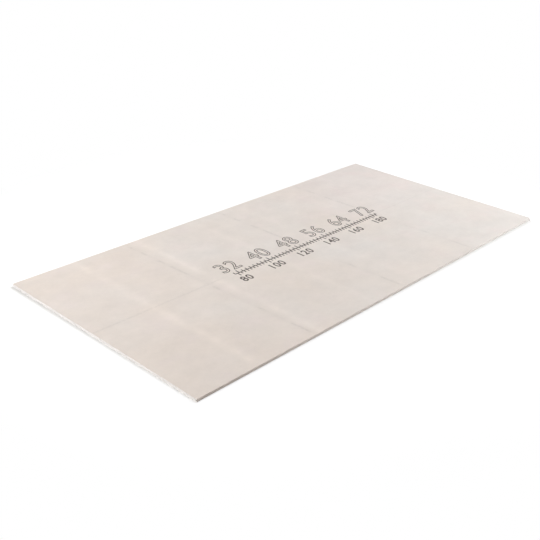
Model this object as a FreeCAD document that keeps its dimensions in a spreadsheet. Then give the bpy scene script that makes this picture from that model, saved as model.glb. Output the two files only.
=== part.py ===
import FreeCAD, Part
import os
import Sketcher

# A gypsum roof board: one sheet of pressed, fibre-reinforced gypsum, the same material all
# through, laid flat.  It is pressed as an endless strip and sawn square to width and length,
# so all four edges are plain, and only their corners with the two faces are broken.
# The model is made in that order: the sheet's outline is extruded by its thickness, and
# then the corners round both faces are chamfered.
#
# Frame: +X along the board, +Y across it, +Z out of the face that is laid upwards.
# The origin is the middle of the underside.

MODEL_NAME = "gypsum_roof_board"
PARTS_FOLDER = "parts"
MM_PER_INCH = 25.4

# alias, value in millimetres, what it is
DIMENSIONS = (
    ("board_length", 96 * MM_PER_INCH, "eight feet, along X"),
    ("board_width", 48 * MM_PER_INCH, "four feet, along Y"),
    ("board_thickness", 0.5 * MM_PER_INCH, "half an inch, along Z"),
    ("corner_break", 0.5, "width of the broken corner between a face and an edge"),
)
SHEET_NAME = "sizes"

# Sketcher's numbers for a line's ends and for the origin
START_POINT = 1
END_POINT = 2
ORIGIN = (-1, 1)

NEAR = 1e-4  # millimetres
CORNERS_SHARE = 1e-3  # the most of the plain block's volume that the broken corners take


def add_sheet(doc):
    """Makes the sheet that drives the model, with one row for each dimension."""
    sheet = doc.addObject("Spreadsheet::Sheet", SHEET_NAME)
    for row, (alias, value, meaning) in enumerate(DIMENSIONS, start=1):
        sheet.set(f"A{row}", alias)
        sheet.set(f"B{row}", str(value))
        sheet.set(f"C{row}", meaning)
        sheet.setAlias(f"B{row}", alias)
    doc.recompute()
    return sheet


def origin_plane(body, role):
    """One of the body's own origin planes, found by its role."""
    for feature in body.Origin.OriginFeatures:
        if feature.Role == role:
            return feature
    raise ValueError(f"{body.Label} has no {role}")


def drive(sketch, name, constraint, alias):
    """Adds a named dimension to the sketch and binds it to the sheet."""
    index = sketch.addConstraint(constraint)
    sketch.renameConstraint(index, name)
    sketch.setExpression(f"Constraints.{name}", f"{SHEET_NAME}.{alias}")


def add_outline(body, sheet):
    """The sawn sheet's outline: a rectangle on the XY plane with the origin in its middle."""
    sketch = body.newObject("Sketcher::SketchObject", "sawn_outline")
    sketch.AttachmentSupport = [(origin_plane(body, "XY_Plane"), "")]
    sketch.MapMode = "FlatFace"

    half_length = sheet.board_length / 2
    half_width = sheet.board_width / 2
    corners = (
        FreeCAD.Vector(-half_length, -half_width, 0),
        FreeCAD.Vector(half_length, -half_width, 0),
        FreeCAD.Vector(half_length, half_width, 0),
        FreeCAD.Vector(-half_length, half_width, 0),
    )
    sides = len(corners)
    for side in range(sides):
        line = Part.LineSegment(corners[side], corners[(side + 1) % sides])
        sketch.addGeometry(line, False)
    for side in range(sides):
        meeting = ("Coincident", side, END_POINT, (side + 1) % sides, START_POINT)
        sketch.addConstraint(Sketcher.Constraint(*meeting))

    front_edge, right_end, back_edge, left_end = range(sides)
    for edge in (front_edge, back_edge):
        sketch.addConstraint(Sketcher.Constraint("Horizontal", edge))
    for end in (right_end, left_end):
        sketch.addConstraint(Sketcher.Constraint("Vertical", end))
    middle = ("Symmetric", front_edge, START_POINT, back_edge, START_POINT, *ORIGIN)
    sketch.addConstraint(Sketcher.Constraint(*middle))
    length = Sketcher.Constraint("Distance", front_edge, sheet.board_length)
    drive(sketch, "outline_length", length, "board_length")
    width = Sketcher.Constraint("Distance", right_end, sheet.board_width)
    drive(sketch, "outline_width", width, "board_width")
    return sketch


def add_pressed_sheet(body, outline):
    """Extrudes the outline upwards by the board's thickness."""
    pressed = body.newObject("PartDesign::Pad", "pressed_sheet")
    pressed.Profile = outline
    pressed.setExpression("Length", f"{SHEET_NAME}.board_thickness")
    return pressed


def broad_faces(shape):
    """Names of the underside and of the upper face: the two that lie level."""
    return [
        f"Face{number}"
        for number, face in enumerate(shape.Faces, start=1)
        if face.BoundBox.ZLength < NEAR
    ]


def add_corner_breaks(body, pressed):
    """Breaks the corners that run round the underside and round the upper face."""
    breaks = body.newObject("PartDesign::Chamfer", "corner_breaks")
    breaks.Base = (pressed, broad_faces(pressed.Shape))
    breaks.setExpression("Size", f"{SHEET_NAME}.corner_break")
    return breaks


def add_roof_board(doc, sheet):
    """The board itself, lying on its underside with the origin in its middle."""
    body = doc.addObject("PartDesign::Body", "RoofBoard")
    body.Label = "roof_board"
    body.Placement = FreeCAD.Placement()
    outline = add_outline(body, sheet)
    pressed = add_pressed_sheet(body, outline)
    doc.recompute()
    add_corner_breaks(body, pressed)
    doc.recompute()
    return body


def check_document(doc):
    """Stops where a feature has failed."""
    for thing in doc.Objects:
        failed = {"Invalid", "Error"} & set(thing.State)
        if failed:
            raise RuntimeError(f"{thing.Name} is {', '.join(sorted(failed))}")


def check_board(body, sheet):
    """Stops unless the board is one valid solid of the size that the sheet gives."""
    shape = body.Shape
    if shape.isNull() or not shape.isValid() or len(shape.Solids) != 1:
        raise RuntimeError(f"{body.Label} isn't one valid solid")
    wanted = (sheet.board_length, sheet.board_width, sheet.board_thickness)
    box = shape.BoundBox
    made = (box.XLength, box.YLength, box.ZLength)
    for want, got in zip(wanted, made):
        if abs(want - got) > NEAR:
            raise RuntimeError(f"{body.Label} measures {made}, not {wanted}")
    block = wanted[0] * wanted[1] * wanted[2]
    if not 0 < 1 - shape.Volume / block < CORNERS_SHARE:
        raise RuntimeError(f"{body.Label} fills {shape.Volume} of the block's {block}")
    print(f"{body.Label}: {made[0]:.1f} x {made[1]:.1f} x {made[2]:.2f} mm")
    print(f"{body.Label}: {shape.Volume:.0f} cubic mm in {len(shape.Faces)} faces")


def export(bodies):
    """Writes each body to a STEP file of its own name."""
    os.makedirs(PARTS_FOLDER, exist_ok=True)
    for body in bodies:
        body.Shape.exportStep(os.path.join(PARTS_FOLDER, f"{body.Label}.step"))


def main():
    doc = FreeCAD.newDocument(MODEL_NAME)
    sheet = add_sheet(doc)
    board = add_roof_board(doc, sheet)
    check_document(doc)
    check_board(board, sheet)
    export([board])


main()
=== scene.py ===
"""A gypsum roof board lying on a pale studio floor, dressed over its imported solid.

The board is one closed surface: a section that starts in the middle of the underside, turns
up the sawn edge and ends in the middle of the upper face, carried once round the outline.
Its upper face carries a printed layout scale, in inches and centimetres from the left end.
"""

import logging
import math
from dataclasses import dataclass
from enum import Enum, IntEnum
from typing import Any, Callable, Union

import bmesh
import bpy
import numpy as np
from mathutils import Matrix, Vector


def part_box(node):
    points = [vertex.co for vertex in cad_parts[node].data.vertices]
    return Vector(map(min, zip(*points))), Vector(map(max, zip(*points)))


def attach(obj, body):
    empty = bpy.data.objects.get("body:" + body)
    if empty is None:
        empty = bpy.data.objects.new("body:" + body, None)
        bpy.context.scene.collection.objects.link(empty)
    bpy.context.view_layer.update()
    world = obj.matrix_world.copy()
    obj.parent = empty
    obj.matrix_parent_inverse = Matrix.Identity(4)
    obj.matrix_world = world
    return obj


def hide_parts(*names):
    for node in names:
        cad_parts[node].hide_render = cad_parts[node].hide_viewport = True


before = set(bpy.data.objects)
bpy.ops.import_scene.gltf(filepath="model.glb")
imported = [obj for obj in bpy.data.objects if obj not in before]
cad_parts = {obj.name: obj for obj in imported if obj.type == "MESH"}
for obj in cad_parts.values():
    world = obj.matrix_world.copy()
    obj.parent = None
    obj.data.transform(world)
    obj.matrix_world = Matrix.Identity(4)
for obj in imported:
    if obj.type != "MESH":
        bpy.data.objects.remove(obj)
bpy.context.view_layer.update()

NODE = "roof_board"
BODY = "root"
MM = 0.001
INCH = 0.0254
WELD_DISTANCE = 1e-6
WHITE = (1.0, 1.0, 1.0)
UNSTRETCHED = (1.0, 1.0, 1.0)
UNSHIFTED = (0.0, 0.0, 0.0)

Array = np.ndarray
Colour = tuple[float, float, float]
Ramp = tuple[float, float]

log = logging.getLogger("roof_board")


def paint(red: int, green: int, blue: int) -> Colour:
    """Turns a colour as it is seen on a screen, 0 to 255, into the light it stands for.

    The curve is the one that screens follow: straight near black, and a power above it.

    Args:
        red: the screen's red.
        green: the screen's green.
        blue: the screen's blue.

    Returns:
        The same colour as three shares of full light.
    """
    screen = np.array((red, green, blue)) / 255
    light = np.where(screen <= 0.04045, screen / 12.92, ((screen + 0.055) / 1.055) ** 2.4)
    return tuple(float(share) for share in light)


# --------------------------------------------------------------------------------------
# Shader maths
# --------------------------------------------------------------------------------------


def arithmetic(operation: str, swapped: bool = False) -> Callable[["Wire", "Value"], "Wire"]:
    """Makes one of a wire's arithmetic methods.

    Args:
        operation: what its Math node does.
        swapped: puts the wire last, as in 1 - wire.

    Returns:
        The method.
    """

    def method(self: "Wire", other: "Value") -> "Wire":
        """Works the wire and another value out with one Math node."""
        values = (other, self) if swapped else (self, other)
        return self.maths(operation, *values)

    return method


class Wire:
    """A value in a material's nodes. Arithmetic on it adds the Math nodes that do it."""

    def __init__(self, bench: "Bench", socket: bpy.types.NodeSocket) -> None:
        """Holds an output socket and the bench that it is on."""
        self.bench = bench
        self.socket = socket

    def maths(self, operation: str, *values: "Value") -> "Wire":
        """Adds one Math node.

        Args:
            operation: what it does.
            values: the wires and numbers that it takes, in order.

        Returns:
            Its result.
        """
        inputs = dict(enumerate(values))
        made = self.bench.node("ShaderNodeMath", {"operation": operation}, inputs)
        return Wire(self.bench, made.outputs[0])

    __add__ = arithmetic("ADD")
    __radd__ = arithmetic("ADD", swapped=True)
    __sub__ = arithmetic("SUBTRACT")
    __rsub__ = arithmetic("SUBTRACT", swapped=True)
    __mul__ = arithmetic("MULTIPLY")
    __rmul__ = arithmetic("MULTIPLY", swapped=True)
    __truediv__ = arithmetic("DIVIDE")
    __pow__ = arithmetic("POWER")
    least = arithmetic("MINIMUM")
    most = arithmetic("MAXIMUM")

    def __neg__(self) -> "Wire":
        """minus self"""
        return self * -1.0

    def __abs__(self) -> "Wire":
        """self without its sign"""
        return self.maths("ABSOLUTE", self)

    def bell(self, half_width: float) -> "Wire":
        """One where self is 0, half at half_width from it, and falling off as a bell does."""
        spread = half_width / math.sqrt(math.log(2))
        return self.maths("EXPONENT", -((self / spread) ** 2.0))

    def step(self, low: float, high: float) -> "Wire":
        """A smooth step: three times t squared less twice t cubed, with t from 0 to 1.

        Args:
            low: where the step is 0.
            high: where it is 1. If it is the smaller of the two, the step falls.

        Returns:
            The step, from 0 to 1.
        """
        settings = {"interpolation_type": "SMOOTHSTEP", "clamp": True}
        flip = low > high
        inputs = {
            "Value": self,
            "From Min": min(low, high),
            "From Max": max(low, high),
            "To Min": 1.0 if flip else 0.0,
            "To Max": 0.0 if flip else 1.0,
        }
        made = self.bench.node("ShaderNodeMapRange", settings, inputs)
        return Wire(self.bench, made.outputs["Result"])


Value = Union[float, tuple, Wire]


@dataclass(frozen=True)
class Grain:
    """Smooth noise: how far apart its lumps are, in metres, and how strong it is.

    It has a number of finer layers, and its lumps are longer by the stretch along X, Y
    and Z. The shift is where it starts, so that two grains of one size differ.
    """

    size: float
    strength: float = 1.0
    layers: float = 2.0
    stretch: tuple = UNSTRETCHED
    shift: tuple = UNSHIFTED


@dataclass(frozen=True)
class Flecks:
    """Scattered flecks: how far apart they are, in metres, and where they fade out.

    The edge is the distance from a fleck's middle at which it is gone and the distance at
    which it is whole, in units of the size.
    """

    size: float
    edge: Ramp
    stretch: tuple = UNSTRETCHED
    shift: tuple = UNSHIFTED


class Bench:
    """One node tree, and the ways to add to it."""

    def __init__(self, name: str) -> None:
        """Starts a material with nothing in it but its coordinates and its output.

        Args:
            name: the material's name.
        """
        self.material = bpy.data.materials.new(name)
        self.material.use_nodes = True
        self.start(self.material.node_tree)
        self.output = self.node("ShaderNodeOutputMaterial")
        place = self.node("ShaderNodeTexCoord").outputs["Object"]
        self.place = Wire(self, place)
        split = self.node("ShaderNodeSeparateXYZ", inputs={"Vector": self.place})
        self.along, self.across, self.up = (Wire(self, split.outputs[axis]) for axis in "XYZ")

    def start(self, tree: bpy.types.NodeTree) -> None:
        """Takes a tree to work on and empties it."""
        self.tree = tree
        self.tree.nodes.clear()

    @classmethod
    def on(cls, tree: bpy.types.NodeTree) -> "Bench":
        """Takes a tree that isn't a material's.

        Args:
            tree: the tree.

        Returns:
            A bench with that tree on it, emptied.
        """
        bench = cls.__new__(cls)
        bench.start(tree)
        return bench

    def show(self, shader: bpy.types.Node) -> None:
        """Makes a shader the material's surface."""
        self.feed(self.output.inputs["Surface"], Wire(self, shader.outputs[0]))

    def node(
        self,
        kind: str,
        settings: dict[str, Any] | None = None,
        inputs: dict[Union[str, int], Value] | None = None,
    ) -> bpy.types.Node:
        """Adds one node.

        Args:
            kind: the node's type.
            settings: its properties, set first.
            inputs: the values or wires of its sockets.

        Returns:
            The node.
        """
        made = self.tree.nodes.new(kind)
        for name, value in (settings or {}).items():
            setattr(made, name, value)
        for name, value in (inputs or {}).items():
            self.feed(made.inputs[name], value)
        return made

    def feed(self, socket: bpy.types.NodeSocket, value: Value) -> None:
        """Links a wire to a socket, or sets the socket to a number or a colour.

        Args:
            socket: an input socket.
            value: what it gets.
        """
        if isinstance(value, Wire):
            self.tree.links.new(value.socket, socket)
        elif isinstance(value, tuple) and socket.type == "RGBA":
            socket.default_value = (*value, 1.0)
        else:
            socket.default_value = value

    def placed(self, pattern: Union[Grain, Flecks]) -> Wire:
        """The object's own coordinates, scaled to a pattern's size and then shifted.

        Args:
            pattern: what is to stand there.

        Returns:
            The coordinates.
        """
        scales = tuple(1 / (pattern.size * times) for times in pattern.stretch)
        inputs = {"Vector": self.place, "Location": pattern.shift, "Scale": scales}
        return Wire(self, self.node("ShaderNodeMapping", inputs=inputs).outputs["Vector"])

    def grain(self, pattern: Grain) -> Wire:
        """Smooth noise over the object's own coordinates.

        Args:
            pattern: its size, strength and shape.

        Returns:
            The noise. Its mean is 0, and it reaches about its strength either way.
        """
        inputs = {"Vector": self.placed(pattern), "Scale": 1.0, "Detail": pattern.layers}
        noise = self.node("ShaderNodeTexNoise", {"noise_dimensions": "3D"}, inputs)
        return (Wire(self, noise.outputs[0]) - 0.5) * (2.0 * pattern.strength)

    def flecks(self, pattern: Flecks) -> Wire:
        """Flecks scattered over the object's own coordinates.

        Args:
            pattern: their size, edge and shape.

        Returns:
            1 in the middle of a fleck, and 0 between them.
        """
        inputs = {"Vector": self.placed(pattern), "Scale": 1.0}
        cells = self.node("ShaderNodeTexVoronoi", {"feature": "F1"}, inputs)
        return Wire(self, cells.outputs["Distance"]).step(*pattern.edge)

    def blend(self, share: Value, first: Value, second: Value) -> Wire:
        """Mixes two colours.

        Args:
            share: how much of the second there is, 0 to 1.
            first: a colour.
            second: a colour.

        Returns:
            The mix.
        """
        settings = {"data_type": "RGBA", "blend_type": "MIX", "clamp_factor": True}
        made = self.node("ShaderNodeMix", settings)
        sockets = {socket.identifier: socket for socket in made.inputs}
        self.feed(sockets["Factor_Float"], share)
        self.feed(sockets["A_Color"], first)
        self.feed(sockets["B_Color"], second)
        result = next(s for s in made.outputs if s.identifier == "Result_Color")
        return Wire(self, result)

    def shade(self, colour: Value, tone: Value) -> Wire:
        """Makes a colour brighter or darker.

        Args:
            colour: the colour.
            tone: how many times as bright it gets.

        Returns:
            The colour times the tone.
        """
        settings = {"operation": "SCALE"}
        made = self.node("ShaderNodeVectorMath", settings, {0: colour, "Scale": tone})
        return Wire(self, made.outputs["Vector"])

    def finish(
        self, colour: Wire, roughness: Value, height: Wire, depth: float, gloss: float
    ) -> bpy.types.Material:
        """Joins what varies to the surface.

        Args:
            colour: the base colour.
            roughness: how matt it is, 0 to 1.
            height: the fine relief, about -1 to 1.
            depth: what one unit of height stands for, in metres.
            gloss: the specular level, the same all over.

        Returns:
            The finished material.
        """
        relief = {"Strength": 1.0, "Distance": depth, "Height": height}
        bump = self.node("ShaderNodeBump", inputs=relief)
        inputs = {
            "Base Color": colour,
            "Roughness": roughness,
            "Normal": Wire(self, bump.outputs["Normal"]),
            "Specular IOR Level": gloss,
        }
        self.show(self.node("ShaderNodeBsdfPrincipled", inputs=inputs))
        return self.material


# --------------------------------------------------------------------------------------
# Finishes
# --------------------------------------------------------------------------------------


@dataclass(frozen=True)
class PressedFace:
    """The upper face: cream, chalky, faintly mottled, marked by the press and the printer.

    Lengths are in metres. Places along the board are from its left end, and places across
    it are from its back edge. A ramp is where something starts and where it is whole.
    """

    length: float
    width: float
    warm: Colour = paint(228, 217, 208)
    cool: Colour = paint(226, 220, 215)
    rosy: Colour = paint(229, 217, 213)
    core: Colour = paint(240, 235, 229)
    tint_patches: Grain = Grain(0.42, 0.9, shift=(0.4, 6.1, 0.0))
    # Painted light colour: the tint leans from warm at the left end to cool at the right.
    tint_lean: float = 0.9
    flush: Grain = Grain(0.15, shift=(2.2, 4.1, 0.0))
    flush_ramp: Ramp = (-0.1, 0.7)
    flush_share: float = 0.55

    # Mottling, from broad patches down to single grains.
    mottles: tuple[Grain, ...] = (
        Grain(0.30, 0.028, shift=(3.1, 1.7, 0.0)),
        Grain(0.105, 0.052, stretch=(1.4, 1.0, 1.0), shift=(0.0, 8.2, 0.0)),
        Grain(0.045, 0.038, stretch=(1.3, 1.0, 1.0)),
        Grain(0.017, 0.027, layers=3.0, shift=(7.0, 2.0, 0.0)),
        Grain(0.0025, 0.030),
    )
    paper: Flecks = Flecks(0.011, (0.10, 0.03), (1.6, 1.0, 1.0), (2.0, 3.0, 0.0))
    paper_tone: float = 0.16
    pits: Flecks = Flecks(0.019, (0.05, 0.02), shift=(8.0, 1.0, 0.0))
    # Painted shade: the pits, sunk in the relief, are darkened as shade in them.
    pit_tone: float = 0.30

    # Press marks: the place and the strength of each, along the board.
    press_marks: tuple = (
        (0.318, 1.5),
        (0.684, 1.45),
        (1.044, 0.75),
        (1.370, 0.60),
        (1.745, 0.35),
        (2.065, 0.25),
    )
    press_half_width: float = 0.020
    press_tone: float = 0.034
    press_sway: Grain = Grain(0.16, 0.013, stretch=(9.0, 1.0, 1.0))
    press_patches: Grain = Grain(0.085, 1.3, shift=(0.0, 5.0, 0.0))
    long_mark: float = 0.690
    long_mark_ramp: Ramp = (0.85, 0.55)
    long_mark_tone: float = 0.022

    # Guide lines across the board: the place at the back edge and at the front edge, the
    # strength, and the share of it that is lost at the skip.
    cross_lines: tuple = (
        (0.614, 0.646, 1.0, 0.0),
        (1.238, 1.261, 0.97, 0.9),
        (1.840, 1.855, 0.78, 0.9),
    )
    skip: float = 0.755
    skip_half_length: float = 0.045
    # The stretches that print: the middle and the half length of each, across the board.
    dashes: tuple = (
        (0.052, 0.007),
        (0.150, 0.018),
        (0.275, 0.022),
        (0.402, 0.062),
        (0.646, 0.015),
        (0.919, 0.015),
        (1.136, 0.047),
    )
    dash_fade: Ramp = (0.012, -0.006)
    centre_line: float = 0.596
    # The parts of the centre line that print, along the board, and their strengths.
    centre_parts: tuple = (((0.78, 0.66), 0.28), ((1.86, 1.92), 0.14))
    worn: Grain = Grain(0.012, shift=(0.0, 9.0, 0.0))
    worn_ramp: Ramp = (-0.60, 0.30)
    ink_half_width: float = 0.0050
    ink_share: float = 0.38
    smear_half_width: float = 0.0120
    smear_share: float = 0.090
    ink_tone: float = 0.27

    # Painted light, paler along the front, and where the face came out rosier, at the back
    # right: for each a ramp across the board and one along it.
    dried: tuple = ((0.88, 1.20), (2.3, 1.4))
    dried_tone: float = 0.034
    blush: tuple = ((0.75, 0.30), (1.50, 1.95))
    blush_share: float = 0.35
    blush_tone: float = 0.008

    # The skin that has come away beside the edges.
    ragged: Grain = Grain(0.006, 0.0010, layers=3.0, shift=(4.0, 4.0, 4.0))
    bare_patches: Grain = Grain(0.060, shift=(4.0, 1.0, 0.0))
    bare_patch_ramp: Ramp = (0.0, 0.5)
    bare_ramp: Ramp = (0.0016, 0.0009)

    # The painted highlight at the back edge, and how it grows from left to right.
    rim_ramp: Ramp = (0.018, 0.003)
    rim_growth: Ramp = (0.6, 1.9)
    rim_shares: tuple = (0.2, 0.8)
    rim_tone: float = 0.055

    # The painted shade inside the ends, and how it grows towards the back.
    rub_place: float = 0.0045
    rub_patches: Grain = Grain(0.05, shift=(6.0, 0.0, 0.0))
    rub_mean: float = 0.7
    rub_growth: Ramp = (0.45, 0.10)
    rub_shares: tuple = (0.9, 2.8)
    rub_tone: float = 0.022

    reliefs: tuple[Grain, ...] = (
        Grain(0.0022, 0.5, layers=3.0, shift=(1.0, 0.0, 0.0)),
        Grain(0.0065, 0.6, stretch=(2.0, 1.0, 1.0), shift=(0.0, 7.0, 0.0)),
    )
    pit_depth: float = 2.0
    matt: float = 0.86
    matt_patches: Grain = Grain(0.02, 0.05, shift=(5.0, 5.0, 0.0))

    def from_left(self, bench: Bench) -> Wire:
        """How far a point is from the left end."""
        return bench.along + self.length / 2

    def from_back(self, bench: Bench) -> Wire:
        """How far a point is from the back edge."""
        return self.width / 2 - bench.across

    def zone(self, bench: Bench, across: Ramp, along: Ramp) -> Wire:
        """A part of the face with soft edges: a ramp across it times one along it."""
        return self.from_back(bench).step(*across) * self.from_left(bench).step(*along)

    def press_light(self, bench: Bench) -> Wire:
        """Paler bands where the press rolls met the wet strip.

        Each is a bell over the distance from its place. They are patchy, and sway a
        little. One more runs lengthwise, near the left end only.

        Args:
            bench: the material's nodes.

        Returns:
            How much paler the face is there.
        """
        sway = bench.grain(self.press_sway)
        along = self.from_left(bench) + sway
        patchy = (bench.grain(self.press_patches) + 1.0).most(0.0)
        bands = sum(
            (along - place).bell(self.press_half_width) * strength
            for place, strength in self.press_marks
        )
        lengthwise = (self.from_back(bench) + sway - self.long_mark).bell(self.press_half_width)
        lengthwise = lengthwise * along.step(*self.long_mark_ramp)
        return (bands * self.press_tone + lengthwise * self.long_mark_tone) * patchy

    def guide_lines(self, bench: Bench) -> Wire:
        """Where the thin printed guide lines are, from 0 to 1.

        Three cross the board and one runs along its middle. The print wheel slipped, so
        the cross lines lean a little, and it was worn, so that all of them print over the
        same short stretches and are only a faint smear between them.

        Args:
            bench: the material's nodes.

        Returns:
            The strength of the ink.
        """
        along, back = self.from_left(bench), self.from_back(bench)
        worn = bench.grain(self.worn).step(*self.worn_ramp)
        printed = sum(
            abs(back - middle).step(*(half_length + fade for fade in self.dash_fade))
            for middle, half_length in self.dashes
        )
        ink = printed * worn * self.ink_share
        skipped = (back - self.skip).bell(self.skip_half_length)
        cross: Any = 0.0
        for start, end, strength, skip in self.cross_lines:
            beside = along - start - back * ((end - start) / self.width)
            line = beside.bell(self.ink_half_width) * ink
            line = line + beside.bell(self.smear_half_width) * self.smear_share
            cross = cross + line * (1.0 - skipped * skip) * strength
        reach = sum(along.step(*ramp) * share for ramp, share in self.centre_parts)
        middle = (back - self.centre_line).bell(self.ink_half_width) * reach * worn
        return cross + middle

    def bare(self, bench: Bench) -> Wire:
        """Where the face's skin has come away, in patches beside its edges.

        Args:
            bench: the material's nodes.

        Returns:
            1 where the skin is gone, and 0 where it is whole.
        """
        inset = (self.length / 2 - abs(bench.along)).least(self.width / 2 - abs(bench.across))
        patchy = bench.grain(self.bare_patches).step(*self.bare_patch_ramp)
        return (inset + bench.grain(self.ragged)).step(*self.bare_ramp) * patchy

    def pale_rim(self, bench: Bench) -> Wire:
        """A painted highlight along the back edge, stronger towards its right end.

        Args:
            bench: the material's nodes.

        Returns:
            How strong the painted highlight is, from 0 to 1.
        """
        least, more = self.rim_shares
        rightwards = self.from_left(bench).step(*self.rim_growth) * more + least
        return self.from_back(bench).step(*self.rim_ramp) * rightwards

    def rubbed(self, bench: Bench) -> Wire:
        """A faint darker band of painted shade just inside the ends.

        Args:
            bench: the material's nodes.

        Returns:
            How much darker it is: a bell over the distance from the end, in patches.
        """
        inset = self.length / 2 - abs(bench.along)
        patchy = bench.grain(self.rub_patches) + self.rub_mean
        least, more = self.rub_shares
        backwards = self.from_back(bench).step(*self.rub_growth) * more + least
        return (inset - self.rub_place).bell(self.rub_place) * patchy * backwards

    def colour(self, bench: Bench) -> Wire:
        """The face's colour, with its patches, marks, lines and flecks, and painted light and
        shade.

        Args:
            bench: the material's nodes.

        Returns:
            The colour.
        """
        # painted light colour: warm at the left end, cool at the right
        lean = (self.from_left(bench) / self.length - 0.5) * self.tint_lean
        tint = bench.blend(bench.grain(self.tint_patches) + lean + 0.5, self.warm, self.cool)
        blush = self.zone(bench, *self.blush)
        flush = bench.grain(self.flush).step(*self.flush_ramp) * self.flush_share
        tint = bench.blend(flush + blush * self.blush_share, tint, self.rosy)
        skin = bench.blend(self.bare(bench), tint, self.core)
        tone = 1.0 + sum(bench.grain(mottle) for mottle in self.mottles) + self.press_light(bench)
        # painted light: the face is paler along its front
        tone = tone + self.zone(bench, *self.dried) * self.dried_tone
        # painted shade just inside the ends
        tone = tone - self.rubbed(bench) * self.rub_tone
        # painted highlight along the back edge
        tone = tone + self.pale_rim(bench) * self.rim_tone + blush * self.blush_tone
        tone = tone * (1.0 - self.guide_lines(bench) * self.ink_tone)
        tone = tone * (1.0 - bench.flecks(self.paper) * self.paper_tone)
        # painted shade in the pits
        return bench.shade(skin, tone * (1.0 - bench.flecks(self.pits) * self.pit_tone))

    def build(self) -> bpy.types.Material:
        """Makes the material.

        Returns:
            The material.
        """
        bench = Bench("pressed_face")
        relief = sum(bench.grain(grain) for grain in self.reliefs)
        relief = relief - bench.flecks(self.pits) * self.pit_depth
        matt = self.matt + bench.grain(self.matt_patches)
        return bench.finish(self.colour(bench), matt, relief, depth=0.00006, gloss=0.25)


@dataclass(frozen=True)
class SawnEdge:
    """A sawn edge: the pale core, with upright saw marks, torn fibre and dust.

    Its colour drifts evenly along it: from left to right, or from front to back if it
    runs crosswise. Its foot is a little darker or lighter, by an amount that drifts too.
    """

    name: str
    length: float
    cores: tuple[Colour, Colour]
    scuffs: tuple[float, float]
    crosswise: bool = False
    scuff_height: float = 0.009
    # Painted shade: the torn patches are tinted towards this colour, as shade in their hollows.
    shadowed: Colour = paint(214, 206, 198)
    dust: Grain = Grain(0.030, layers=3.0, stretch=(1.0, 1.0, 0.5))
    dust_tone: float = 0.020
    dust_matt: float = 0.04
    scratches: Grain = Grain(0.0016, stretch=(1.0, 1.0, 14.0))
    scratch_tone: float = 0.028
    scratch_height: float = 0.6
    crumbs: Grain = Grain(0.0011, shift=(3.0, 0.0, 1.0))
    crumb_tone: float = 0.026
    crumb_height: float = 0.5
    torn: Grain = Grain(0.0045, layers=3.0, shift=(0.0, 3.0, 2.0))
    torn_ramp: Ramp = (0.18, 0.42)
    torn_share: float = 0.36
    torn_depth: float = 0.9
    fibre: Flecks = Flecks(0.0042, (0.16, 0.05), (1.8, 1.8, 0.5), (1.0, 5.0, 0.0))
    fibre_tone: float = 0.20
    matt: float = 0.92

    def build(self) -> bpy.types.Material:
        """Makes the material.

        Returns:
            The material.
        """
        bench = Bench(self.name)
        dust = bench.grain(self.dust)
        scratches = bench.grain(self.scratches)
        crumbs = bench.grain(self.crumbs)
        torn = bench.grain(self.torn).step(*self.torn_ramp)
        drift = (bench.across if self.crosswise else bench.along) / self.length + 0.5
        core = bench.blend(drift, *self.cores)
        # painted shade in the torn hollows
        tint = bench.blend(torn * self.torn_share, core, self.shadowed)
        first, last = self.scuffs
        # darker or lighter towards the bottom
        foot_shift = bench.up.step(self.scuff_height, 0.0) * (drift * (last - first) + first)
        tone = 1.0 + dust * self.dust_tone + scratches * self.scratch_tone
        tone = tone + crumbs * self.crumb_tone - foot_shift
        colour = bench.shade(tint, tone * (1.0 - bench.flecks(self.fibre) * self.fibre_tone))
        relief = scratches * self.scratch_height + crumbs * self.crumb_height
        relief = relief - torn * self.torn_depth
        matt = self.matt + dust * self.dust_matt
        return bench.finish(colour, matt, relief, depth=0.00014, gloss=0.2)


@dataclass(frozen=True)
class Underside:
    """The underside: a shade greyer than the face, with the press felt's weave in it."""

    ground: Colour = paint(222, 214, 206)
    grey: Colour = paint(214, 209, 203)
    patches: Grain = Grain(0.35, 0.8, layers=3.0, shift=(9.0, 0.0, 0.0))
    clouds: Grain = Grain(0.055, layers=3.0)
    cloud_tone: float = 0.022
    cloud_matt: float = 0.04
    warp: Grain = Grain(0.0030, layers=1.0, stretch=(9.0, 1.0, 1.0))
    weft: Grain = Grain(0.0030, layers=1.0, stretch=(1.0, 9.0, 1.0), shift=(2.0, 2.0, 0.0))
    weave_tone: float = 0.018
    weave_height: float = 0.7
    fibre: Flecks = Flecks(0.010, (0.11, 0.03), (1.8, 1.0, 1.0), (4.0, 0.0, 0.0))
    fibre_tone: float = 0.16
    matt: float = 0.9

    def build(self) -> bpy.types.Material:
        """Makes the material.

        Returns:
            The material.
        """
        bench = Bench("felt_side")
        clouds = bench.grain(self.clouds)
        warp = bench.grain(self.warp)
        weft = bench.grain(self.weft)
        tint = bench.blend(bench.grain(self.patches) + 0.5, self.ground, self.grey)
        tone = 1.0 + clouds * self.cloud_tone + warp * self.weave_tone + weft * self.weave_tone
        colour = bench.shade(tint, tone - bench.flecks(self.fibre) * self.fibre_tone)
        relief = warp * self.weave_height + weft * self.weave_height
        matt = self.matt + clouds * self.cloud_matt
        return bench.finish(colour, matt, relief, depth=0.00012, gloss=0.2)


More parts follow.
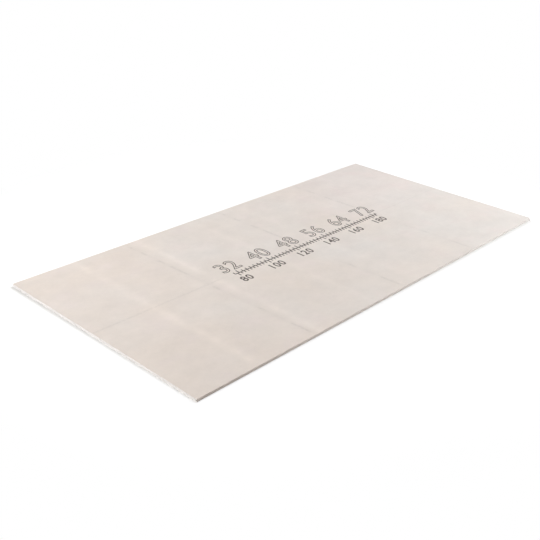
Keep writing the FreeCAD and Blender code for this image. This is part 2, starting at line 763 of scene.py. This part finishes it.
@dataclass(frozen=True)
class PrintedInk:
    """The layout scale's ink: thin, matt and grey, broken by the face's grain."""

    ink: Colour = paint(88, 80, 75)
    bare: Colour = paint(205, 197, 190)
    thin: Grain = Grain(0.020, layers=3.0, shift=(6.0, 6.0, 0.0))
    thin_ramp: Ramp = (-0.1, 0.9)
    thin_share: float = 0.30
    skips: Grain = Grain(0.0018, shift=(0.0, 1.0, 0.0))
    skip_ramp: Ramp = (0.10, 0.45)
    skip_share: float = 0.55
    grain: Grain = Grain(0.0022, layers=3.0, shift=(1.0, 0.0, 0.0))
    grain_tone: float = 0.06
    grain_matt: float = 0.05
    matt: float = 0.78

    def build(self) -> bpy.types.Material:
        """Makes the material.

        Returns:
            The material.
        """
        bench = Bench("printed_ink")
        thin = bench.grain(self.thin).step(*self.thin_ramp) * self.thin_share
        skips = bench.grain(self.skips).step(*self.skip_ramp) * self.skip_share
        tint = bench.blend(thin + skips, self.ink, self.bare)
        grain = bench.grain(self.grain)
        colour = bench.shade(tint, 1.0 + grain * self.grain_tone)
        matt = self.matt + grain * self.grain_matt
        return bench.finish(colour, matt, grain, depth=0.00005, gloss=0.3)


# --------------------------------------------------------------------------------------
# Surfaces
# --------------------------------------------------------------------------------------


class Region(IntEnum):
    """The parts of the board's surface, in the order of their finishes."""

    UNDERSIDE = 0
    END = 1
    SIDE = 2
    FACE = 3


def ripple(place: Array, length: float, cell: float, seed: int) -> Array:
    """A smooth random curve round a closed path.

    The path is cut into cells of about one size, each cell's start has a random height,
    and a smooth step joins one height to the next.

    Args:
        place: how far round the path each point is.
        length: how long the path is.
        cell: how far apart the random heights are.
        seed: picks the heights.

    Returns:
        Heights from 0 to 1, one for each point.
    """
    cells = max(round(length / cell), 1)
    heights = np.random.default_rng(seed).random(cells)
    across = place / length * cells
    left = np.floor(across).astype(int)
    share = across - left
    share = share * share * (3 - 2 * share)
    return heights[left % cells] * (1 - share) + heights[(left + 1) % cells] * share


def build_piece(
    name: str, vertices: Array, faces: list, finishes: list, choice: Array | None = None
) -> bpy.types.Object:
    """Puts a surface into the scene as a piece that rides on the board's body.

    Args:
        name: the piece's name.
        vertices: its points, in metres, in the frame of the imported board.
        faces: each face's point numbers.
        finishes: its materials.
        choice: which of them each face takes; the first, if left out.

    Returns:
        The piece.
    """
    mesh = bpy.data.meshes.new(name)
    mesh.from_pydata(vertices.tolist(), [], faces)
    for finish in finishes:
        mesh.materials.append(finish)
    if choice is not None:
        mesh.polygons.foreach_set("material_index", choice.astype(np.int32))
    mesh.update()
    piece = bpy.data.objects.new(name, mesh)
    bpy.context.scene.collection.objects.link(piece)
    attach(piece, BODY)
    return piece


@dataclass
class Outline:
    """A closed rectangular path with small round corners, run anticlockwise from above.

    Every corner stands in a square zone of its own, so that the stations on opposite sides
    face each other whatever the corners' radii are.
    """

    half_length: float
    half_width: float
    corner_radii: tuple
    zone: float = 0.020
    spacing: float = 0.0032
    straight_steps: int = 4
    arc_steps: int = 9

    def corner(self, start: Array, ahead: Array, inward: Array, radius: float) -> Array:
        """The path through one corner's zone: straight on, round the arc and straight on.

        Args:
            start: where the path enters the zone.
            ahead: the direction in which it enters.
            inward: the direction in which it leaves.
            radius: the arc's radius.

        Returns:
            One row of X and Y for each point.
        """
        share = np.arange(self.straight_steps)[:, None] / self.straight_steps
        turn = np.arange(self.arc_steps)[:, None] / self.arc_steps * math.pi / 2
        before = (self.zone - radius) * share
        return start + np.concatenate(
            (
                ahead * before,
                ahead * (self.zone - radius + radius * np.sin(turn))
                + inward * (radius - radius * np.cos(turn)),
                ahead * self.zone + inward * (radius + before),
            )
        )

    def points(self) -> Array:
        """The path's points: even steps along each side, then its corner.

        Returns:
            One row of X and Y for each point; the last joins the first.
        """
        corners = (
            (self.half_length, -self.half_width),
            (self.half_length, self.half_width),
            (-self.half_length, self.half_width),
            (-self.half_length, -self.half_width),
        )
        runs = []
        for number, corner in enumerate(corners):
            before = corners[number - 1]
            ahead = np.sign(np.subtract(corner, before))
            inward = np.array((-ahead[1], ahead[0]))
            start = before + ahead * self.zone
            end = corner - ahead * self.zone
            steps = round(float(np.linalg.norm(end - start)) / self.spacing)
            share = np.arange(steps)[:, None] / steps
            runs.append(start * (1 - share) + end * share)
            runs.append(self.corner(end, ahead, inward, self.corner_radii[number]))
        return np.concatenate(runs)


@dataclass
class GypsumSheet:
    """The board: one closed surface, sawn all round, with its corners broken by handling.

    Sizes are in metres. The upper face lies one layer of ink below the solid's top, so
    that the print stays within the solid's box. The radii are those of the upright
    corners: right front, right back, left back and left front.
    """

    low: Vector
    high: Vector
    ink_layer: float
    corner_radii: tuple = (0.0150, 0.0030, 0.0015, 0.0020)
    even_radius: float = 0.0040
    end_hollow: float = 0.0013
    hollow_fade: int = 8

    # The broken corners: the cells of the curves that waver, chip and roughen them, and
    # how high the chips' curve has to rise.
    corner_break: float = 0.0005
    break_cells: tuple = (0.040, 0.034, 0.011, 0.005)
    waver: tuple = (0.88, 0.24)
    roughness: tuple = (0.7, 0.6)
    chip_depth: float = 0.0009
    chip_start: float = 0.80
    chip_span: float = 0.20
    chip_power: float = 0.8
    knock_depth: float = 0.0009
    knock_reach: float = 0.010
    lower_seed: int = 40
    upper_seed: int = 60

    # The saw marks: cell, seed and share of each curve. The last one's seed is for the
    # lowest row of crumbs, and each row above takes the next.
    saw_depth: float = 0.00014
    saw_lean: float = 0.0035
    scratches: tuple = ((0.0095, 11, 0.55), (0.0038, 12, 0.25))
    crumbs: tuple = (0.0058, 20, 0.35)

    corner_steps: int = 4
    wall_steps: int = 8
    face_rings: tuple = (0.003, 0.012, 0.05, 0.18, 0.45)

    @property
    def half_length(self) -> float:
        """Half of the board's length."""
        return (self.high.x - self.low.x) / 2

    @property
    def half_width(self) -> float:
        """Half of the board's width."""
        return (self.high.y - self.low.y) / 2

    @property
    def face_height(self) -> float:
        """How high the bare upper face lies."""
        return self.high.z - self.ink_layer

    def broken_corner(self, place: Array, length: float, knock: Array, seed: int) -> Array:
        """How far a corner is broken back, all the way round.

        An even break that wavers, and here and there a small chip, which is a peak of two
        random curves' product. Near the upright corners it's knocked back further. A fine
        curve roughens the chips and the knocks.

        Args:
            place: how far round the outline each station is.
            length: the outline's length.
            knock: from 0 far from the upright corners to 1 at them.
            seed: picks the first of the four curves, and the next ones the others.

        Returns:
            The depth of the break at each station.
        """
        waver, coarse, fine, rough = (
            ripple(place, length, cell, seed + number)
            for number, cell in enumerate(self.break_cells)
        )
        even = self.corner_break * (self.waver[0] + self.waver[1] * waver)
        chips = np.clip((coarse * fine - self.chip_start) / self.chip_span, 0, 1)
        uneven = self.chip_depth * chips**self.chip_power + self.knock_depth * knock
        return even + uneven * (self.roughness[0] + self.roughness[1] * rough)

    def saw_marks(self, place: Array, height: Array, length: float) -> Array:
        """How far the saw and torn fibre leave the wall inside its true plane.

        Upright scratches that lean a little with the height, plus crumbs whose pattern
        changes from one height to the next.

        Args:
            place: how far round the outline each station is, as a column.
            height: how high each profile point is at each station, as a share of the
                thickness.
            length: the outline's length.

        Returns:
            The depth for each station and profile point.
        """
        lean = place + self.saw_lean * height
        scratches = sum(
            ripple(lean, length, cell, seed) * share for cell, seed, share in self.scratches
        )
        cell, seed, share = self.crumbs
        rows = [
            ripple(place[:, 0], length, cell, seed + row) for row in range(height.shape[1])
        ]
        return self.saw_depth * (scratches + share * np.stack(rows, axis=1))

    def profile(self, place: Array, length: float, knock: Array) -> tuple[Array, Array, Array]:
        """The section at every station.

        From the middle of the underside the section runs out to the wall, round the lower
        corner as a quarter circle, up the wall, round the upper corner and back in.

        Args:
            place: how far round the outline each station is.
            length: the outline's length.
            knock: from 0 far from the upright corners to 1 at them.

        Returns:
            The inset from the outline and the height, for each station and profile point,
            and how far each profile point is from the wall to the middle, from 0 to 1.
        """
        lower = self.broken_corner(place, length, knock, self.lower_seed)[:, None]
        upper = self.broken_corner(place, length, knock, self.upper_seed)[:, None]
        turn = np.linspace(0, math.pi / 2, self.corner_steps + 1)[None, :]
        climb = np.linspace(0, 1, self.wall_steps + 1)[None, 1:-1]
        wall_height = lower * (1 - climb) + (self.face_height - upper) * climb
        lower_inset = lower * (1 - np.sin(turn))
        upper_inset = upper * (1 - np.cos(turn))
        inset = np.concatenate((lower_inset, np.zeros_like(wall_height), upper_inset), axis=1)
        lower_height = lower * (1 - np.cos(turn))
        upper_height = self.face_height - upper * (1 - np.sin(turn))
        height = np.concatenate((lower_height, wall_height, upper_height), axis=1)
        inset = inset + self.saw_marks(place[:, None], height / self.high.z, length)

        reach = np.array((*self.face_rings, 1.0))
        under = inset[:, :1] * (1 - reach) + self.half_width * reach
        face = inset[:, -1:] * (1 - reach) + self.half_width * reach
        level = np.zeros_like(face)
        inwards = np.concatenate((reach[::-1], np.zeros(inset.shape[1]), reach))
        inset = np.concatenate((under[:, ::-1], inset, face), axis=1)
        height = np.concatenate((level, height, level + self.face_height), axis=1)
        return inset, height, inwards

    def surface(self) -> tuple[Array, list, Array]:
        """The whole surface.

        Every station's section is carried round the outline: a point at some inset is the
        outline's point, drawn in evenly towards the middle. On the way it passes from the
        outline with its uneven corners to one with even corners, so that the last ring
        folds onto the board's own middle line, where both halves meet and are joined.
        The left end is sawn slightly hollow: its points move in by a parabola over the
        board's width, which fades out quickly along the board.

        Returns:
            The vertices, the faces and the region that each face belongs to.
        """
        path = Outline(self.half_length, self.half_width, self.corner_radii).points()
        even = Outline(self.half_length, self.half_width, (self.even_radius,) * 4).points()
        steps = np.linalg.norm(np.roll(path, -1, axis=0) - path, axis=1)
        length = float(steps.sum())
        place = np.concatenate(((0.0,), np.cumsum(steps)[:-1]))
        from_end = self.half_length - np.abs(path[:, 0])
        from_side = self.half_width - np.abs(path[:, 1])
        knock = np.exp(-((np.hypot(from_end, from_side) / self.knock_reach) ** 2))
        inset, height, inwards = self.profile(place, length, knock)

        drawn = path[:, None, :] * (1 - inwards[:, None]) + even[:, None, :] * inwards[:, None]
        vertices = np.empty((*inset.shape, 3))
        vertices[..., 0] = drawn[..., 0] * (1 - inset / self.half_length)
        vertices[..., 1] = drawn[..., 1] * (1 - inset / self.half_width)
        vertices[..., 2] = height
        at_left = np.clip(-vertices[..., 0] / self.half_length, 0, 1) ** self.hollow_fade
        at_middle = 1 - (vertices[..., 1] / self.half_width) ** 2
        vertices[..., 0] += self.end_hollow * at_left * at_middle
        stations, points = inset.shape
        number = np.arange(stations * points).reshape(stations, points)
        after = np.roll(number, -1, axis=0)
        faces = np.stack(
            (number[:, :-1], after[:, :-1], after[:, 1:], number[:, 1:]), axis=-1
        ).reshape(-1, 4)

        rings = len(self.face_rings) + 1
        sawn = np.where(from_side < from_end, Region.SIDE, Region.END)
        regions = np.repeat(sawn[:, None], points - 1, axis=1)
        regions[:, :rings] = Region.UNDERSIDE
        regions[:, -rings:] = Region.FACE
        return vertices.reshape(-1, 3), faces.tolist(), regions.reshape(-1)

    def build(self, finishes: list) -> bpy.types.Object:
        """Makes the board and joins its seams.

        Args:
            finishes: the materials of the underside, the ends, the sides and the face.

        Returns:
            The board.
        """
        vertices, faces, regions = self.surface()
        board = build_piece("gypsum_sheet", vertices, faces, finishes, regions)
        weld(board.data)
        board.data.polygons.foreach_set(
            "use_smooth", np.ones(len(board.data.polygons), dtype=bool)
        )
        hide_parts(NODE)
        return board


def weld(mesh: bpy.types.Mesh) -> None:
    """Joins points that lie on each other, drops what is left empty and turns faces out.

    Args:
        mesh: the mesh to change.
    """
    work = bmesh.new()
    work.from_mesh(mesh)
    bmesh.ops.remove_doubles(work, verts=work.verts, dist=WELD_DISTANCE)
    bmesh.ops.dissolve_degenerate(work, edges=work.edges, dist=WELD_DISTANCE)
    bmesh.ops.recalc_face_normals(work, faces=work.faces)
    work.to_mesh(mesh)
    work.free()
    mesh.update()


# --------------------------------------------------------------------------------------
# Print
# --------------------------------------------------------------------------------------


class Bank(Enum):
    """The two sides of the layout scale's rule, by which way their marks point."""

    BEHIND = 1.0
    IN_FRONT = -1.0


@dataclass(frozen=True)
class Marks:
    """One side of the layout scale: its unit, where its marks are and how long they are.

    Lengths are in metres. The marks are counted from the board's left end, and every so
    many units one of them is long and has a number.
    """

    bank: Bank
    unit: float
    first: int
    last: int
    step: int
    units_a_number: int
    number_height: float
    number_gap: float
    short: float = 0.014
    long: float = 0.024
    width: float = 0.0062

    def units(self) -> Array:
        """How many units from the left end each mark is."""
        return np.arange(self.first, self.last + 1, self.step)

    def numbered(self) -> Array:
        """Which of the marks have numbers."""
        return self.units() % self.units_a_number == 0


INCHES = Marks(
    Bank.BEHIND,
    unit=INCH,
    first=31,
    last=73,
    step=1,
    units_a_number=8,
    number_height=0.090,
    number_gap=0.036,
)
CENTIMETRES = Marks(
    Bank.IN_FRONT,
    unit=10 * MM,
    first=80,
    last=184,
    step=2,
    units_a_number=20,
    number_height=0.047,
    number_gap=0.034,
)


@dataclass
class LayoutScale:
    """A plain layout scale printed along the middle of the upper face.

    One rule carries inches on its back side, under large outlined numbers, and
    centimetres on its front side, over small solid ones. Both count from the left end.
    Sizes are in metres.
    """

    left: float
    back: float
    top: float
    ink_layer: float
    sunk: float = 0.00005
    rule_from_back: float = 0.606
    rule_width: float = 0.0062
    stroke: float = 0.0050
    narrow: float = 0.90
    outline_boldness: float = 0.034
    solid_boldness: float = 0.020
    digit_spacing: float = 1.12
    curve_steps: int = 6
    sharpest_bend: float = 0.5

    @property
    def rule(self) -> float:
        """Where the rule's middle line is, across the board."""
        return self.back - self.rule_from_back

    def draw(self, text: str, boldness: float, solid: bool) -> tuple[Array, Array, list]:
        """Draws a number one unit high in the plain built-in font, its middle at 0.

        Args:
            text: its digits.
            boldness: how much fatter than the font its strokes are.
            solid: gives it faces and a thickness of 1, not outlines alone.

        Returns:
            Its points, its edges and its faces.
        """
        curve = bpy.data.curves.new("digits", "FONT")
        curve.body = text
        curve.fill_mode = "BOTH" if solid else "NONE"
        curve.extrude = 0.5 if solid else 0.0
        curve.align_x = "CENTER"
        curve.offset = boldness
        curve.space_character = self.digit_spacing
        curve.resolution_u = self.curve_steps
        holder = bpy.data.objects.new("digits", curve)
        bpy.context.scene.collection.objects.link(holder)
        bpy.context.view_layer.update()
        drawn = holder.evaluated_get(bpy.context.evaluated_depsgraph_get()).to_mesh()
        points = np.empty(len(drawn.vertices) * 3)
        drawn.vertices.foreach_get("co", points)
        points = points.reshape(-1, 3)
        edges = np.empty(len(drawn.edges) * 2, dtype=np.int64)
        drawn.edges.foreach_get("vertices", edges)
        faces = [list(face.vertices) for face in drawn.polygons]
        bpy.data.objects.remove(holder)
        bpy.data.curves.remove(curve)
        points[:, :2] /= points[:, 1].max()
        points[:, 0] *= self.narrow
        return points, edges.reshape(-1, 2), faces

    def ribbon(self, path: Array) -> tuple[Array, list]:
        """A flat band of ink along a closed path.

        The section is a rectangle, one stroke wide and one layer of ink high. At each
        point it stands square to the mean of the directions before and after it, and is
        widened at a bend so that the stroke keeps its width.

        Args:
            path: the band's middle line, X and Y.

        Returns:
            The band's vertices and faces.
        """
        ahead = np.roll(path, -1, axis=0) - path
        ahead = ahead / np.linalg.norm(ahead, axis=1, keepdims=True)
        behind = np.roll(ahead, 1, axis=0)
        mean = ahead + behind
        mean = mean / np.linalg.norm(mean, axis=1, keepdims=True)
        aside = np.stack((-mean[:, 1], mean[:, 0]), axis=1)
        bend = np.clip((mean * ahead).sum(axis=1, keepdims=True), self.sharpest_bend, 1)
        reach = aside * (self.stroke / 2) / bend
        bottom = np.full((len(path), 1), self.top - self.ink_layer - self.sunk)
        lid = np.full((len(path), 1), self.top)
        section = (
            np.hstack((path - reach, bottom)),
            np.hstack((path - reach, lid)),
            np.hstack((path + reach, lid)),
            np.hstack((path + reach, bottom)),
        )
        vertices = np.stack(section, axis=1)
        number = np.arange(vertices.shape[0] * 4).reshape(-1, 4)
        after = np.roll(number, -1, axis=0)
        beside = np.roll(number, -1, axis=1)
        after_beside = np.roll(after, -1, axis=1)
        faces = np.stack((number, after, after_beside, beside), axis=-1).reshape(-1, 4)
        return vertices.reshape(-1, 3), faces.tolist()

    def bars(self, centres: Array, sizes: Array) -> tuple[Array, list]:
        """Flat rectangles of ink.

        Args:
            centres: the middle of each, X and Y.
            sizes: the length of each along X and Y.

        Returns:
            Their vertices and faces.
        """
        corner = np.array(
            [(x, y, z) for z in (-1, 1) for x, y in ((-1, -1), (1, -1), (1, 1), (-1, 1))]
        )
        thick = self.ink_layer + self.sunk
        middle = np.hstack((centres, np.full((len(centres), 1), self.top - thick / 2)))
        half = np.hstack((sizes, np.full((len(sizes), 1), thick))) / 2
        vertices = middle[:, None, :] + corner[None, :, :] * half[:, None, :]
        box = np.array(
            [(3, 2, 1, 0), (4, 5, 6, 7), (0, 1, 5, 4), (1, 2, 6, 5), (2, 3, 7, 6), (3, 0, 4, 7)]
        )
        faces = box[None, :, :] + (np.arange(len(centres)) * len(corner))[:, None, None]
        return vertices.reshape(-1, 3), faces.reshape(-1, 4).tolist()

    def feet(self, marks: Marks) -> list:
        """Where the numbers stand: clear of the rule, at their own marks.

        Args:
            marks: the side of the scale.

        Returns:
            Each numbered mark's number, and the place of the middle of its foot.
        """
        clear = self.rule_width / 2 + marks.number_gap
        if marks.bank is Bank.IN_FRONT:
            clear = -clear - marks.number_height
        return [
            (str(count), np.array((self.left + count * marks.unit, self.rule + clear)))
            for count in marks.units()[marks.numbered()].tolist()
        ]

    def outlined(self, marks: Marks) -> list:
        """Draws numbers as outlines. Each loop of a number's outline is a band of ink.

        Args:
            marks: the side of the scale.

        Returns:
            The vertices and the faces of each loop.
        """
        made = []
        for text, foot in self.feet(marks):
            points, edges, _ = self.draw(text, self.outline_boldness, solid=False)
            closing = edges[np.abs(edges[:, 1] - edges[:, 0]) > 1]
            for pair in closing.tolist():
                loop = points[min(pair) : max(pair) + 1, :2]
                made.append(self.ribbon(loop * marks.number_height + foot))
        return made

    def solid(self, marks: Marks) -> list:
        """Draws numbers as flat layers of ink.

        Args:
            marks: the side of the scale.

        Returns:
            The vertices and the faces of each number.
        """
        made = []
        thick = self.ink_layer + self.sunk
        for text, foot in self.feet(marks):
            points, _, faces = self.draw(text, self.solid_boldness, solid=True)
            flat = points[:, :2] * marks.number_height + foot
            level = self.top + (points[:, 2:] - 0.5) * thick
            made.append((np.hstack((flat, level)), faces))
        return made

    def ticks(self, marks: Marks) -> tuple[Array, list]:
        """A side's ticks, as bars of ink that start at the rule's edge.

        Args:
            marks: the side of the scale.

        Returns:
            Their vertices and faces.
        """
        places = self.left + marks.units() * marks.unit
        lengths = np.where(marks.numbered(), marks.long, marks.short)
        middles = self.rule + marks.bank.value * (self.rule_width + lengths) / 2
        sizes = np.stack((np.full(len(places), marks.width), lengths), axis=1)
        return self.bars(np.stack((places, middles), axis=1), sizes)

    def rule_bar(self, sides: tuple) -> tuple[Array, list]:
        """The rule itself, as long as its two sides need.

        Args:
            sides: the marks of both sides.

        Returns:
            Its vertices and faces.
        """
        ends = [self.left + marks.units()[[0, -1]] * marks.unit for marks in sides]
        start = min(end[0] - marks.width / 2 for end, marks in zip(ends, sides))
        stop = max(end[1] + marks.width / 2 for end, marks in zip(ends, sides))
        centre = np.array([((start + stop) / 2, self.rule)])
        return self.bars(centre, np.array([(stop - start, self.rule_width)]))

    def build(self, ink: bpy.types.Material, above: Marks, below: Marks) -> list:
        """Makes the numbers and the ticks.

        Args:
            ink: their material.
            above: the marks behind the rule, with outlined numbers.
            below: the marks in front of the rule, with solid numbers.

        Returns:
            The pieces.
        """
        groups = {
            "scale_large_numbers": self.outlined(above),
            "scale_small_numbers": self.solid(below),
            "scale_ticks": [self.ticks(above), self.ticks(below), self.rule_bar((above, below))],
        }
        pieces = []
        for name, parts in groups.items():
            counts = np.cumsum([0] + [len(vertices) for vertices, _ in parts]).tolist()
            vertices = np.concatenate([vertices for vertices, _ in parts])
            faces = [
                [number + start for number in face]
                for (_, faces), start in zip(parts, counts)
                for face in faces
            ]
            pieces.append(build_piece(name, vertices, faces, [ink]))
        large, small, ticks = pieces
        weld(small.data)
        return [large, small, ticks]


# --------------------------------------------------------------------------------------
# Studio
# --------------------------------------------------------------------------------------


@dataclass(frozen=True)
class Softbox:
    """A square white lamp: its place, the point that it faces, its size and its strength."""

    name: str
    place: tuple
    aim: tuple
    size: float
    watts: float

    def build(self) -> bpy.types.Object:
        """Hangs the lamp, out of the camera's sight.

        Returns:
            The lamp.
        """
        lamp = bpy.data.lights.new(self.name, "AREA")
        lamp.shape = "SQUARE"
        lamp.size = self.size
        lamp.energy = self.watts
        holder = bpy.data.objects.new(self.name, lamp)
        holder.location = self.place
        towards = Vector(self.aim) - Vector(self.place)
        holder.rotation_euler = towards.to_track_quat("-Z", "Y").to_euler()
        holder.visible_camera = False
        bpy.context.scene.collection.objects.link(holder)
        return holder


@dataclass(frozen=True)
class Viewpoint:
    """Where the camera stands: beyond the near left corner, looking down along the board."""

    aim: tuple
    distance: float = 3.8415
    azimuth: float = -47.098
    elevation: float = 26.266
    roll: float = 1.747
    lens: float = 54.983

    def build(self) -> bpy.types.Object:
        """Sets the camera up and makes it the scene's.

        Azimuth 0 looks along +Y, and it grows anticlockwise as seen from above.

        Returns:
            The camera.
        """
        turn, rise = math.radians(self.azimuth), math.radians(self.elevation)
        back = Vector(
            (
                math.sin(turn) * math.cos(rise),
                -math.cos(turn) * math.cos(rise),
                math.sin(rise),
            )
        )
        data = bpy.data.cameras.new("camera")
        data.lens = self.lens
        camera = bpy.data.objects.new("camera", data)
        facing = (-back).to_track_quat("-Z", "Y").to_matrix().to_4x4()
        tilt = Matrix.Rotation(math.radians(self.roll), 4, "Z")
        stand = Matrix.Translation(Vector(self.aim) + back * self.distance)
        camera.matrix_world = stand @ facing @ tilt
        bpy.context.scene.collection.objects.link(camera)
        bpy.context.scene.camera = camera
        return camera


class Ray(Enum):
    """The kinds of ray that see the backdrop as it is meant to look."""

    CAMERA = "Is Camera Ray"
    GLOSSY = "Is Glossy Ray"
    TRANSMISSION = "Is Transmission Ray"


@dataclass
class Studio:
    """A pale floor, a white surround and the lamps."""

    low: Vector
    high: Vector
    floor_radius: float = 60.0
    first_ring: float = 0.5
    floor_rings: int = 8
    floor_spokes: int = 64
    floor_gap: float = 0.0001
    floor_colour: Colour = (0.80, 0.80, 0.80)
    ambient: float = 0.02

    # What looks at the floor sees this colour and glow, which turn white further away.
    shown_colour: Colour = (0.30, 0.30, 0.30)
    shown_glow: float = 0.78
    whitening: Ramp = (1.38, 1.80)

    # The painted shadow on it close round the board. Pairs are at the front and at the back
    # of an end, or at the left and at the right of a long side.
    shade_tint: Colour = (0.10, 0.06, 0.0)
    end_spread: float = 0.0097
    end_offsets: tuple = (-0.0035, 0.0040)
    end_depths: tuple = (0.36, 0.53)
    side_spread: float = 0.0155
    side_offset: float = 0.0055
    side_depths: tuple = (0.01, 0.25)

    def seen(self, bench: Bench) -> Wire:
        """Tells the rays that look at the backdrop from those that light the board.

        Args:
            bench: the backdrop's nodes.

        Returns:
            1 for a ray that looks at it, and 0 for any other.
        """
        path = bench.node("ShaderNodeLightPath")
        camera, glossy, transmission = (Wire(bench, path.outputs[ray.value]) for ray in Ray)
        return camera.most(glossy).most(transmission)

    def mix(self, bench: Bench, share: Value, *shaders: bpy.types.Node) -> bpy.types.Node:
        """Shows the first of two shaders where share is 0 and the second where it is 1."""
        first, second = (Wire(bench, shader.outputs[0]) for shader in shaders)
        return bench.node("ShaderNodeMixShader", inputs={0: share, 1: first, 2: second})

    def contact(self, bench: Bench) -> Wire:
        """A painted shadow on the floor close round the board, where it keeps the soft light off.

        It is a bell over the distance from the board's outline. Beside the ends it grows
        and moves outwards from front to back; beside the long sides it grows from left
        to right.

        Args:
            bench: the floor's nodes.

        Returns:
            How deep the shade is, from 0 to 1.
        """
        length, width = self.high.x - self.low.x, self.high.y - self.low.y
        past_end = abs(bench.along) - length / 2
        past_side = abs(bench.across) - width / 2
        backwards = bench.across / width + 0.5
        rightwards = bench.along / length + 0.5
        near, far = self.end_offsets
        light, deep = self.end_depths
        end = (past_end - near - backwards * (far - near)).bell(self.end_spread)
        end = end * (light + backwards * (deep - light))
        end = end * past_side.step(self.end_spread, -self.end_spread)
        light, deep = self.side_depths
        side = (past_side - self.side_offset).bell(self.side_spread)
        side = side * (light + rightwards * (deep - light))
        side = side * past_end.step(0.0, -self.side_spread)
        return end.most(side)

    def floor_finish(self) -> bpy.types.Material:
        """Pale and matt. To the camera it also glows, so that it is white but for shadow.

        Close round the board the glow is dimmed and warmed a little, as a painted shadow,
        and far from the board it is plain white.

        Returns:
            The material.
        """
        bench = Bench("floor")
        plain = bench.node("ShaderNodeBsdfDiffuse", inputs={"Color": self.floor_colour})
        shown = bench.node("ShaderNodeBsdfDiffuse", inputs={"Color": self.shown_colour})
        lit = bench.blend(self.contact(bench), WHITE, self.shade_tint)
        glow = bench.node(
            "ShaderNodeEmission", inputs={"Color": lit, "Strength": self.shown_glow}
        )
        white = bench.node("ShaderNodeEmission", inputs={"Strength": 1.0})
        wires = {0: Wire(bench, shown.outputs[0]), 1: Wire(bench, glow.outputs[0])}
        beside = bench.node("ShaderNodeAddShader", inputs=wires)
        distance = (bench.along**2.0 + bench.across**2.0) ** 0.5
        to_camera = self.mix(bench, distance.step(*self.whitening), beside, white)
        bench.show(self.mix(bench, self.seen(bench), plain, to_camera))
        return bench.material

    def build_floor(self) -> bpy.types.Object:
        """Makes a round floor of rings: a point is a radius times cosine and sine.

        Returns:
            The floor.
        """
        angles = np.linspace(0, 2 * math.pi, self.floor_spokes, endpoint=False)[:, None]
        radii = np.geomspace(self.first_ring, self.floor_radius, self.floor_rings)[None, :]
        level = np.full((angles.size, radii.size), -self.floor_gap)
        rings = np.stack((radii * np.cos(angles), radii * np.sin(angles), level), axis=-1)
        number = np.arange(angles.size * radii.size).reshape(angles.size, radii.size)
        after = np.roll(number, -1, axis=0)
        faces = np.stack((number[:, :-1], number[:, 1:], after[:, 1:], after[:, :-1]), axis=-1)
        faces = [*faces.reshape(-1, 4).tolist(), number[:, 0].tolist()]
        mesh = bpy.data.meshes.new("floor")
        mesh.from_pydata(rings.reshape(-1, 3).tolist(), [], faces)
        mesh.materials.append(self.floor_finish())
        floor = bpy.data.objects.new("floor", mesh)
        bpy.context.scene.collection.objects.link(floor)
        return floor

    def build_surround(self) -> None:
        """White to the camera, and a weak even light to everything else."""
        world = bpy.data.worlds.new("surround")
        bpy.context.scene.world = world
        world.use_nodes = True
        bench = Bench.on(world.node_tree)
        light, white = (
            bench.node("ShaderNodeBackground", inputs={"Color": WHITE, "Strength": strength})
            for strength in (self.ambient, 1.0)
        )
        output = bench.node("ShaderNodeOutputWorld")
        choice = self.mix(bench, self.seen(bench), light, white)
        bench.feed(output.inputs["Surface"], Wire(bench, choice.outputs[0]))

    def build(self, lamps: tuple) -> None:
        """Makes the floor and the surround and hangs the lamps.

        The lamps are picked by power alone, which leaves less grain on narrow edges.

        Args:
            lamps: the lamps to hang.
        """
        self.build_floor()
        self.build_surround()
        for lamp in lamps:
            lamp.build()
        bpy.context.scene.cycles.use_light_tree = False


LAMPS = (
    Softbox("back_softbox", (0.2, 2.0, 4.0), (0.0, 0.0, 0.0), 2.2, 88.6),
    Softbox("overhead_softbox", (-2.4, 1.0, 2.8), (-0.2, 0.0, 0.0), 2.0, 56.8),
    Softbox("left_softbox", (-4.6, -0.2, 0.9), (-1.1, 0.0, 0.0), 1.4, 60.5),
    Softbox("front_softbox", (1.3, -2.6, 1.0), (0.7, -0.5, 0.0), 1.2, 30.0),
    Softbox("right_softbox", (2.6, -0.4, 1.5), (0.6, -0.3, 0.0), 1.2, 26.7),
)


def main() -> None:
    """Builds the board, its print and the studio, and reports each piece."""
    logging.basicConfig(level=logging.INFO, format="%(message)s")
    bpy.context.scene.view_settings.view_transform = "Standard"

    low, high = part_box(NODE)
    ink_layer = 0.0001
    sheet = GypsumSheet(low, high, ink_layer)
    face = PressedFace(high.x - low.x, high.y - low.y)
    ends = SawnEdge(
        "sawn_end",
        high.y - low.y,
        cores=(paint(238, 233, 228), paint(238, 233, 230)),
        scuffs=(0.0, 0.055),
        crosswise=True,
    )
    sides = SawnEdge(
        "sawn_side",
        high.x - low.x,
        cores=(paint(233, 220, 210), paint(241, 236, 232)),
        scuffs=(-0.05, -0.01),
    )
    finishes = [finish.build() for finish in (Underside(), ends, sides, face)]
    board = sheet.build(finishes)
    scale = LayoutScale(low.x, high.y, high.z, ink_layer)
    for piece in (board, *scale.build(PrintedInk().build(), INCHES, CENTIMETRES)):
        log.info("%s: %d faces", piece.name, len(piece.data.polygons))

    Viewpoint(aim=(-0.2853, -0.0755, high.z)).build()
    Studio(low, high).build(LAMPS)


if __name__ == "__main__":
    main()
